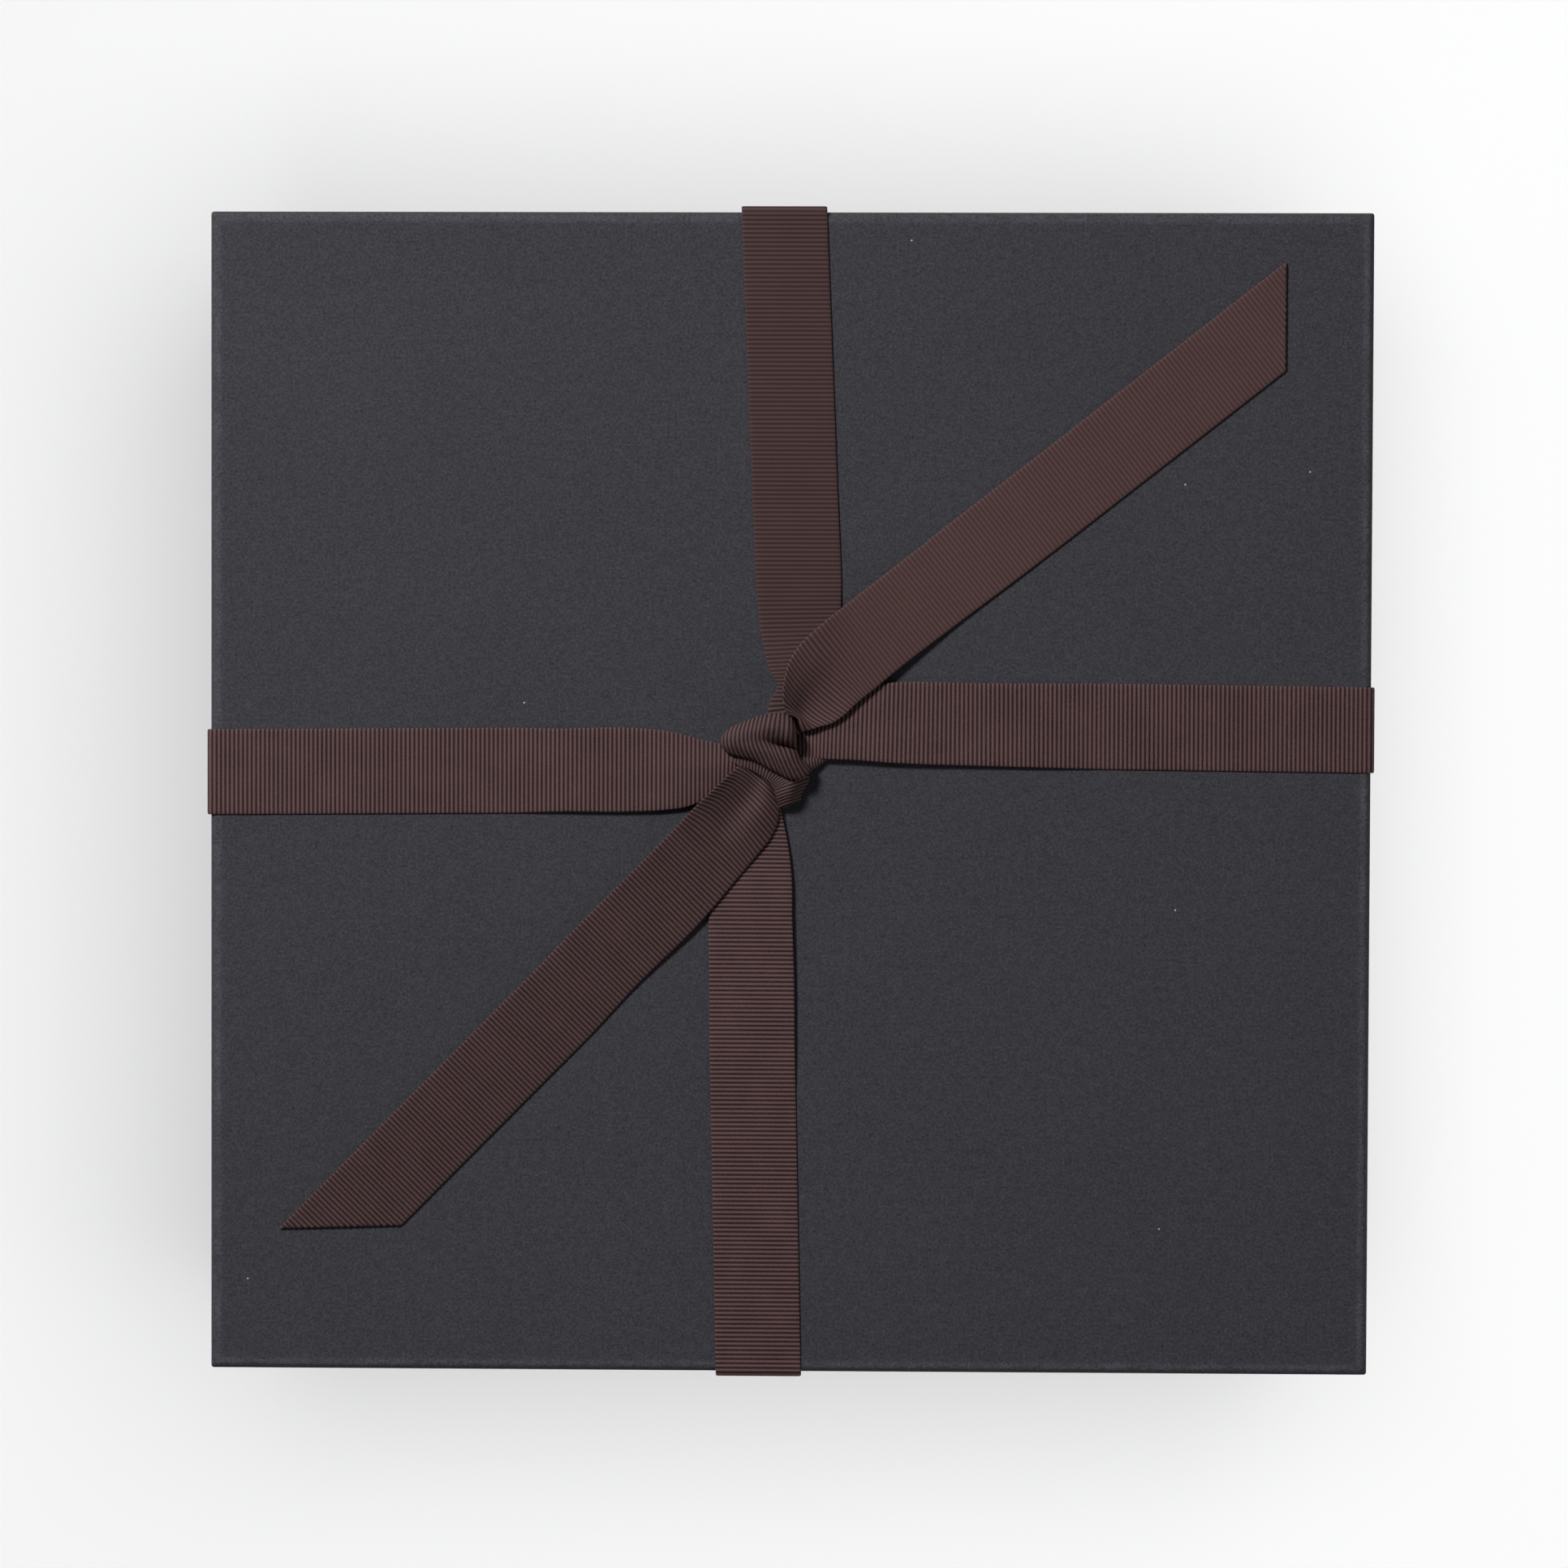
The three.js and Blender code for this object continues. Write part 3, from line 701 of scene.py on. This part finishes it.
def covers():
    """The lid's cover goes right across its panel; the base's is turned under by a strip."""
    wrapped_cover(
        "lid_cover_wrapped", "lid_cover", "lid", LID_HALF, LID_TOP, LID_RIM, PANEL_MIDDLE
    )
    half = BASE_HIGH.x
    wrapped_cover(
        "base_cover_wrapped", "base_cover", "base", half, BASE_LOW.z, BASE_HIGH.z, half - TURN_UNDER
    )


# ------------------------------------------------------------------ material building blocks
def put(tree, kind, inputs=None, **settings):
    """A shader node with its settings, its values and its links in one call."""
    made = tree.nodes.new(kind)
    for key, value in settings.items():
        setattr(made, key, value)
    for name, value in (inputs or {}).items():
        if isinstance(value, bpy.types.NodeSocket):
            tree.links.new(value, made.inputs[name])
        else:
            made.inputs[name].default_value = value
    return made


def sums(tree, operation, first, second=0.0, third=0.0):
    """The result of one step of arithmetic."""
    made = tree.nodes.new("ShaderNodeMath")
    made.operation = operation
    for socket, value in zip(made.inputs, (first, second, third)):
        if isinstance(value, bpy.types.NodeSocket):
            tree.links.new(value, socket)
        else:
            socket.default_value = value
    return made.outputs[0]


def remap(tree, value, low, high, to_low=0.0, to_high=1.0):
    """A value taken from one range to another, and held to it."""
    made = put(
        tree,
        "ShaderNodeMapRange",
        {"Value": value, "From Min": low, "From Max": high, "To Min": to_low, "To Max": to_high},
    )
    return made.outputs["Result"]


def noise_at(tree, place, scale, detail, roughness):
    """Soft noise round 0.5; scale is how many of its broadest patches fit in a metre."""
    made = put(
        tree,
        "ShaderNodeTexNoise",
        {"Vector": place, "Scale": scale, "Detail": detail, "Roughness": roughness},
    )
    return made.outputs["Fac"]


def mixed(tree, share, first, second):
    """The first colour going over to the second as the share rises."""
    made = tree.nodes.new("ShaderNodeMix")
    made.data_type = "RGBA"
    for name, value in (("Factor", share), ("A", first), ("B", second)):
        socket = next(s for s in made.inputs if s.name == name and s.enabled)
        if isinstance(value, bpy.types.NodeSocket):
            tree.links.new(value, socket)
        else:
            socket.default_value = value
    return next(s for s in made.outputs if s.enabled)


def scaled(tree, colour, value):
    """A colour times a value."""
    inputs = {0: colour, "Scale": value}
    return put(tree, "ShaderNodeVectorMath", inputs, operation="SCALE").outputs[0]


def raised(tree, shader, height, strength, distance):
    """Raises the surface by a height, as a bump."""
    inputs = {"Strength": strength, "Distance": distance, "Height": height}
    bump = put(tree, "ShaderNodeBump", inputs)
    tree.links.new(bump.outputs["Normal"], shader.inputs["Normal"])


def new_group(name, inputs, outputs):
    """A shader node group with named sockets, and its input and output nodes."""
    tree = bpy.data.node_groups.new(name, "ShaderNodeTree")
    kinds = {"value": "NodeSocketFloat", "colour": "NodeSocketColor", "vector": "NodeSocketVector"}
    for label, kind in inputs:
        tree.interface.new_socket(label, in_out="INPUT", socket_type=kinds[kind])
    for label, kind in outputs:
        tree.interface.new_socket(label, in_out="OUTPUT", socket_type=kinds[kind])
    return tree, tree.nodes.new("NodeGroupInput").outputs, tree.nodes.new("NodeGroupOutput").inputs


def use_group(tree, group, inputs):
    """The outputs of a node group, given its inputs."""
    return put(tree, "ShaderNodeGroup", inputs, node_tree=group).outputs


def from_srgb(red, green, blue):
    """A screen colour, 0 to 255, as the linear colour that a shader takes."""
    linear = [((c / 255 + 0.055) / 1.055) ** 2.4 for c in (red, green, blue)]
    return (*linear, 1.0)


def new_material(name):
    """A material with its node tree and its shader."""
    material = bpy.data.materials.new(name)
    material.use_nodes = True
    tree = material.node_tree
    shader = tree.nodes["Principled BSDF"]
    return material, tree, shader


CLOUD_SWING = 0.12  # how much the colour drifts over wide patches


def paper_fibre_group():
    """Mottle and fibre of an uncoated paper: a colour, a height and a roughness."""
    tree, given, gives = new_group(
        "paper_fibre",
        [("Place", "vector"), ("Colour", "colour"), ("Mottle", "value"), ("Fibre Size", "value")],
        [("Colour", "colour"), ("Height", "value"), ("Roughness", "value")],
    )
    scale = sums(tree, "DIVIDE", 1.0, given["Fibre Size"])
    fine = noise_at(tree, given["Place"], scale, 5.0, 0.75)
    coarse = noise_at(tree, given["Place"], sums(tree, "MULTIPLY", scale, 0.3), 3.0, 0.5)
    cloud = noise_at(tree, given["Place"], sums(tree, "MULTIPLY", scale, 0.02), 2.0, 0.5)
    coarse_part = sums(tree, "MULTIPLY", coarse, 0.15)
    together = sums(tree, "MULTIPLY_ADD", fine, 0.85, coarse_part)
    swing = sums(tree, "MULTIPLY", sums(tree, "SUBTRACT", together, 0.5), given["Mottle"])
    cloudy = sums(tree, "MULTIPLY", sums(tree, "SUBTRACT", cloud, 0.5), CLOUD_SWING)
    level = sums(tree, "ADD", sums(tree, "ADD", swing, cloudy), 1.0)
    tree.links.new(scaled(tree, given["Colour"], level), gives["Colour"])
    tree.links.new(fine, gives["Height"])
    tree.links.new(remap(tree, coarse, 0.3, 0.7, 0.76, 0.82), gives["Roughness"])
    return tree


BARE_CELLS = 0.82  # share of the cells that hold no speck
LOOKS_UP = 0.9  # least upward part of the normal of a face that holds dust


def dust_group():
    """Sparse pale specks, lying on faces that look up."""
    tree, given, gives = new_group(
        "dust", [("Place", "vector"), ("Cell", "value"), ("Speck", "value")], [("Mask", "value")]
    )
    scale = sums(tree, "DIVIDE", 1.0, given["Cell"])
    cells = put(
        tree,
        "ShaderNodeTexVoronoi",
        {"Vector": given["Place"], "Scale": scale},
        voronoi_dimensions="2D",
    )
    radius = sums(tree, "DIVIDE", given["Speck"], given["Cell"])
    near = sums(tree, "LESS_THAN", cells.outputs["Distance"], radius)
    pick = put(tree, "ShaderNodeSeparateColor", {"Color": cells.outputs["Color"]})
    chosen = sums(tree, "GREATER_THAN", pick.outputs[0], BARE_CELLS)
    normal = put(tree, "ShaderNodeNewGeometry").outputs["Normal"]
    facing = put(tree, "ShaderNodeSeparateXYZ", {"Vector": normal})
    upward = sums(tree, "GREATER_THAN", facing.outputs["Z"], LOOKS_UP)
    lying = sums(tree, "MULTIPLY", chosen, upward)
    tree.links.new(sums(tree, "MULTIPLY", near, lying), gives["Mask"])
    return tree


RUBBED_AND_LIT_GAIN = 1.1  # how much paler than its colour a place gets at full wear and painted highlight
WEAR_AND_HIGHLIGHT_PATCH = 6 * MM


def wear_and_highlight_group():
    """Colour made paler, in patches, where a piece marks it: rubbed wear, and a painted highlight along the
    panel's shoulder.
    """
    tree, given, gives = new_group(
        "wear_and_highlight",
        [("Place", "vector"), ("Worn And Lit", "value"), ("Colour", "colour")],
        [("Colour", "colour")],
    )
    patches = noise_at(tree, given["Place"], 1 / WEAR_AND_HIGHLIGHT_PATCH, 4.0, 0.6)
    amount = sums(tree, "MULTIPLY", given["Worn And Lit"], remap(tree, patches, 0.35, 0.7, 0.25, 0.9))
    level = sums(tree, "MULTIPLY_ADD", amount, RUBBED_AND_LIT_GAIN, 1.0)
    tree.links.new(scaled(tree, given["Colour"], level), gives["Colour"])
    return tree


COVER_COLOUR = from_srgb(50, 50, 55)
DUST_COLOUR = from_srgb(165, 165, 165)
DUST_CELL = 34 * MM
SPECK_RADIUS = 0.22 * MM


def cover_paper():
    """Charcoal covering paper: fibres, sparse dust, edges rubbed paler, and a painted highlight along the
    panel's shoulder.
    """
    material, tree, shader = new_material("cover_paper")
    place = put(tree, "ShaderNodeTexCoord").outputs["Object"]
    fibre = use_group(
        tree,
        PAPER_FIBRE,
        {"Place": place, "Colour": COVER_COLOUR, "Mottle": 3.8, "Fibre Size": 0.65 * MM},
    )
    specks = use_group(tree, DUST, {"Place": place, "Cell": DUST_CELL, "Speck": SPECK_RADIUS})
    colour = mixed(tree, specks["Mask"], fibre["Colour"], DUST_COLOUR)
    worn_and_lit = put(tree, "ShaderNodeAttribute", attribute_name="worn_and_lit").outputs["Fac"]
    rubbed_and_lit = use_group(tree, WEAR_AND_HIGHLIGHT, {"Place": place, "Worn And Lit": worn_and_lit, "Colour": colour})
    tree.links.new(rubbed_and_lit["Colour"], shader.inputs["Base Color"])
    tree.links.new(fibre["Roughness"], shader.inputs["Roughness"])
    shader.inputs["Specular IOR Level"].default_value = 0.3
    raised(tree, shader, fibre["Height"], 0.2, 0.018 * MM)
    return material


PLAIN_ROUGHNESS = 0.9


def plain_paper(name, colour, mottle, fibre_size):
    """An uncoated paper or board that nothing rubs."""
    material, tree, shader = new_material(name)
    place = put(tree, "ShaderNodeTexCoord").outputs["Object"]
    fibre = use_group(
        tree,
        PAPER_FIBRE,
        {"Place": place, "Colour": colour, "Mottle": mottle, "Fibre Size": fibre_size},
    )
    tree.links.new(fibre["Colour"], shader.inputs["Base Color"])
    shader.inputs["Roughness"].default_value = PLAIN_ROUGHNESS
    raised(tree, shader, fibre["Height"], 0.5, 0.08 * MM)
    return material


YARN_PITCH = 0.42 * MM  # warp yarns that run along the ribbon, over its ribs
YARN_WANDER = 1.0 * MM  # how far a yarn strays sideways
YARN_WANDER_EVERY = 1.6 * MM
FIBRE_SIZE = 0.35 * MM
DYE_PATCH = 9 * MM
# The crests' paler colour is a painted highlight and the valleys' dark colour is painted shade.
CREST_HIGHLIGHT_COLOUR = from_srgb(102, 75, 74)
MIDDLE_COLOUR = from_srgb(72, 50, 49)
VALLEY_SHADE_COLOUR = from_srgb(28, 14, 17)


def weave_group():
    """Grosgrain: ribs across the ribbon with a painted highlight on their crests and painted shade in their
    valleys, fine warp yarns over them, and fibre variation.
    """
    tree, given, gives = new_group(
        "grosgrain_weave",
        [("Place", "vector"), ("Crest Highlight", "colour"), ("Middle", "colour"), ("Valley Shade", "colour")],
        [("Colour", "colour"), ("Height", "value"), ("Roughness", "value")],
    )
    split = put(tree, "ShaderNodeSeparateXYZ", {"Vector": given["Place"]})
    along, across = split.outputs["X"], split.outputs["Y"]
    turn = sums(tree, "MULTIPLY", along, math.pi / RIB_PITCH)
    crest = sums(tree, "ABSOLUTE", sums(tree, "SINE", turn))
    wander = noise_at(tree, given["Place"], 1 / YARN_WANDER_EVERY, 2.0, 0.5)
    strayed = sums(tree, "MULTIPLY_ADD", wander, YARN_WANDER, across)
    yarn_turn = sums(tree, "MULTIPLY", strayed, 2 * math.pi / YARN_PITCH)
    yarn = sums(tree, "MULTIPLY_ADD", sums(tree, "SINE", yarn_turn), 0.5, 0.5)
    fine = noise_at(tree, given["Place"], 1 / FIBRE_SIZE, 3.0, 0.6)
    broad = noise_at(tree, given["Place"], 1 / DYE_PATCH, 2.0, 0.5)
    share = sums(tree, "POWER", crest, 2.0)
    beads = sums(tree, "MULTIPLY_ADD", yarn, 0.22, 0.78)
    share = sums(tree, "MULTIPLY", share, beads)
    share = sums(tree, "MULTIPLY_ADD", sums(tree, "SUBTRACT", fine, 0.5), 0.9, share)
    share = sums(tree, "MULTIPLY_ADD", sums(tree, "SUBTRACT", broad, 0.5), 0.25, share)
    ribbed = mixed(tree, share, given["Valley Shade"], given["Crest Highlight"])
    # Where rib_shading fades, the painted highlight on the crests and the painted shade in the valleys draw
    # together.
    smooth_share = sums(tree, "MULTIPLY_ADD", share, 0.5, 0.25)
    smooth = mixed(tree, smooth_share, given["Valley Shade"], given["Crest Highlight"])
    smooth = mixed(tree, 0.6, smooth, given["Middle"])
    rib_shading = sums(tree, "MINIMUM", split.outputs["Z"], 1.0)
    tree.links.new(mixed(tree, rib_shading, smooth, ribbed), gives["Colour"])
    height = sums(tree, "MULTIPLY_ADD", yarn, 0.6, sums(tree, "MULTIPLY", fine, 0.4))
    tree.links.new(height, gives["Height"])
    tree.links.new(remap(tree, fine, 0.3, 0.7, 0.66, 0.82), gives["Roughness"])
    return tree


def grosgrain(name, shade):
    """The ribbon's cloth; a shade below 1 darkens every colour of it, as painted shade."""
    material, tree, shader = new_material(name)
    inputs = {"Place": put(tree, "ShaderNodeAttribute", attribute_name="weave").outputs["Vector"]}
    colours = {"Crest Highlight": CREST_HIGHLIGHT_COLOUR, "Middle": MIDDLE_COLOUR, "Valley Shade": VALLEY_SHADE_COLOUR}
    for part, colour in colours.items():
        inputs[part] = (*(shade * channel for channel in colour[:3]), 1.0)
    weave = use_group(tree, WEAVE, inputs)
    tree.links.new(weave["Colour"], shader.inputs["Base Color"])
    tree.links.new(weave["Roughness"], shader.inputs["Roughness"])
    shader.inputs["Specular IOR Level"].default_value = 0.2
    raised(tree, shader, weave["Height"], 0.3, 0.06 * MM)
    return material


# ------------------------------------------------------------------ stage
CAMERA_PLACE = (0.0204, 0.0333, 1.2251)
CAMERA_TURN = (-1.561, 1.114, 0.205)
LENS = 100
SENSOR = 36
FLOOR_REACH = 3.0
KEY_PLACE = (-1.2, 1.32, 1.38)  # small, high at the back left
KEY_SIZE = 0.48
KEY_WATTS = 66
FILL_PLACE = (1.5, -0.9, 0.5)
FILL_SIZE = 1.0
FILL_WATTS = 9
SKY_PLACE = (0.5, 0.15, 2.6)
SKY_SIZE = 3.2
SKY_WATTS = {"floor_light": 48, "floor_fill": 53}  # the second casts no shadow
WORLD_COLOUR = (0.94, 0.95, 1, 1)
WORLD_STRENGTH = 0.11


def camera():
    """The camera high over the lid, looking down."""
    data = bpy.data.cameras.new("camera")
    data.lens = LENS
    data.sensor_width = SENSOR
    data.sensor_fit = "HORIZONTAL"
    made = bpy.data.objects.new("camera", data)
    made.location = CAMERA_PLACE
    made.rotation_euler = Euler([math.radians(a) for a in CAMERA_TURN], "XYZ")
    bpy.context.scene.collection.objects.link(made)
    bpy.context.scene.camera = made


def area_light(name, place, size, watts):
    """A square lamp aimed at the lid."""
    data = bpy.data.lights.new(name, "AREA")
    data.shape = "SQUARE"
    data.size = size
    data.energy = watts
    made = bpy.data.objects.new(name, data)
    made.location = place
    aim = Vector((0, 0, LID_TOP)) - Vector(place)
    made.rotation_euler = aim.to_track_quat("-Z", "Y").to_euler()
    bpy.context.scene.collection.objects.link(made)
    return made


def floor_and_world():
    """A pale floor under the box, and a dim even light from all round."""
    corners = [(-1, -1, 0), (1, -1, 0), (1, 1, 0), (-1, 1, 0)]
    mesh = bpy.data.meshes.new("floor")
    mesh.from_pydata([Vector(corner) * FLOOR_REACH for corner in corners], [], [(0, 1, 2, 3)])
    floor = bpy.data.objects.new("floor", mesh)
    bpy.context.scene.collection.objects.link(floor)
    material, _, shader = new_material("pale_floor")
    shader.inputs["Base Color"].default_value = (0.9, 0.9, 0.9, 1)
    shader.inputs["Roughness"].default_value = 0.8
    mesh.materials.append(material)
    floor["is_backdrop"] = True
    world = bpy.data.worlds.new("studio")
    world.use_nodes = True
    background = world.node_tree.nodes["Background"]
    background.inputs["Color"].default_value = WORLD_COLOUR
    background.inputs["Strength"].default_value = WORLD_STRENGTH
    bpy.context.scene.world = world
    return floor


def lights(floor):
    """Lamps for the box and lamps for the floor, so that each gets its own level."""
    on_gift = bpy.data.collections.new("lit_by_key")
    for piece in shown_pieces():
        on_gift.objects.link(piece)
    on_floor = bpy.data.collections.new("lit_by_floor_light")
    on_floor.objects.link(floor)
    key = area_light("key", KEY_PLACE, KEY_SIZE, KEY_WATTS)
    key.light_linking.receiver_collection = on_gift
    fill = area_light("fill", FILL_PLACE, FILL_SIZE, FILL_WATTS)
    fill.light_linking.receiver_collection = on_gift
    # The only blocker listed for the second floor lamp is the floor, so the box casts no shadow.
    no_shadow = bpy.data.collections.new("casts_no_floor_shadow")
    no_shadow.objects.link(floor)
    for name, watts in SKY_WATTS.items():
        sky = area_light(name, SKY_PLACE, SKY_SIZE, watts)
        sky.light_linking.receiver_collection = on_floor
        if name == "floor_fill":
            sky.light_linking.blocker_collection = no_shadow


# ------------------------------------------------------------------ assembly
def dress(node, material):
    """Gives a piece of the frame its only material."""
    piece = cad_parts[node]
    piece.data.materials.clear()
    piece.data.materials.append(material)


camera()
PAPER_FIBRE = paper_fibre_group()
DUST = dust_group()
WEAR_AND_HIGHLIGHT = wear_and_highlight_group()
WEAVE = weave_group()
COVER_PAPER = cover_paper()
LINING_PAPER = plain_paper("lining_paper", from_srgb(60, 59, 63), 0.3, 0.5 * MM)
GREY_BOARD = plain_paper("grey_board", from_srgb(141, 135, 124), 0.7, 0.9 * MM)
STAY_PAPER = plain_paper("stay_paper", from_srgb(176, 148, 104), 0.4, 0.6 * MM)
GROSGRAIN = grosgrain("grosgrain", 1.0)
# A darker copy of the ribbon's cloth: painted shade on the back arm, the left tail and the knot.
GROSGRAIN_PAINTED_SHADE = grosgrain("grosgrain_painted_shade", 0.75)

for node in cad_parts:
    if node.endswith("_cover") or node == "base_bottom_sheet":
        dress(node, COVER_PAPER)
    elif node.endswith("_lining"):
        dress(node, LINING_PAPER)
    elif node.endswith("_board"):
        dress(node, GREY_BOARD)
    elif "_stay_" in node:
        dress(node, STAY_PAPER)

covers()
for side in ARMS:
    ribbon_arm(side)
for side in TAILS:
    ribbon_tail(side)
ribbon_knot()
lights(floor_and_world())
bpy.context.scene.view_settings.view_transform = "Standard"
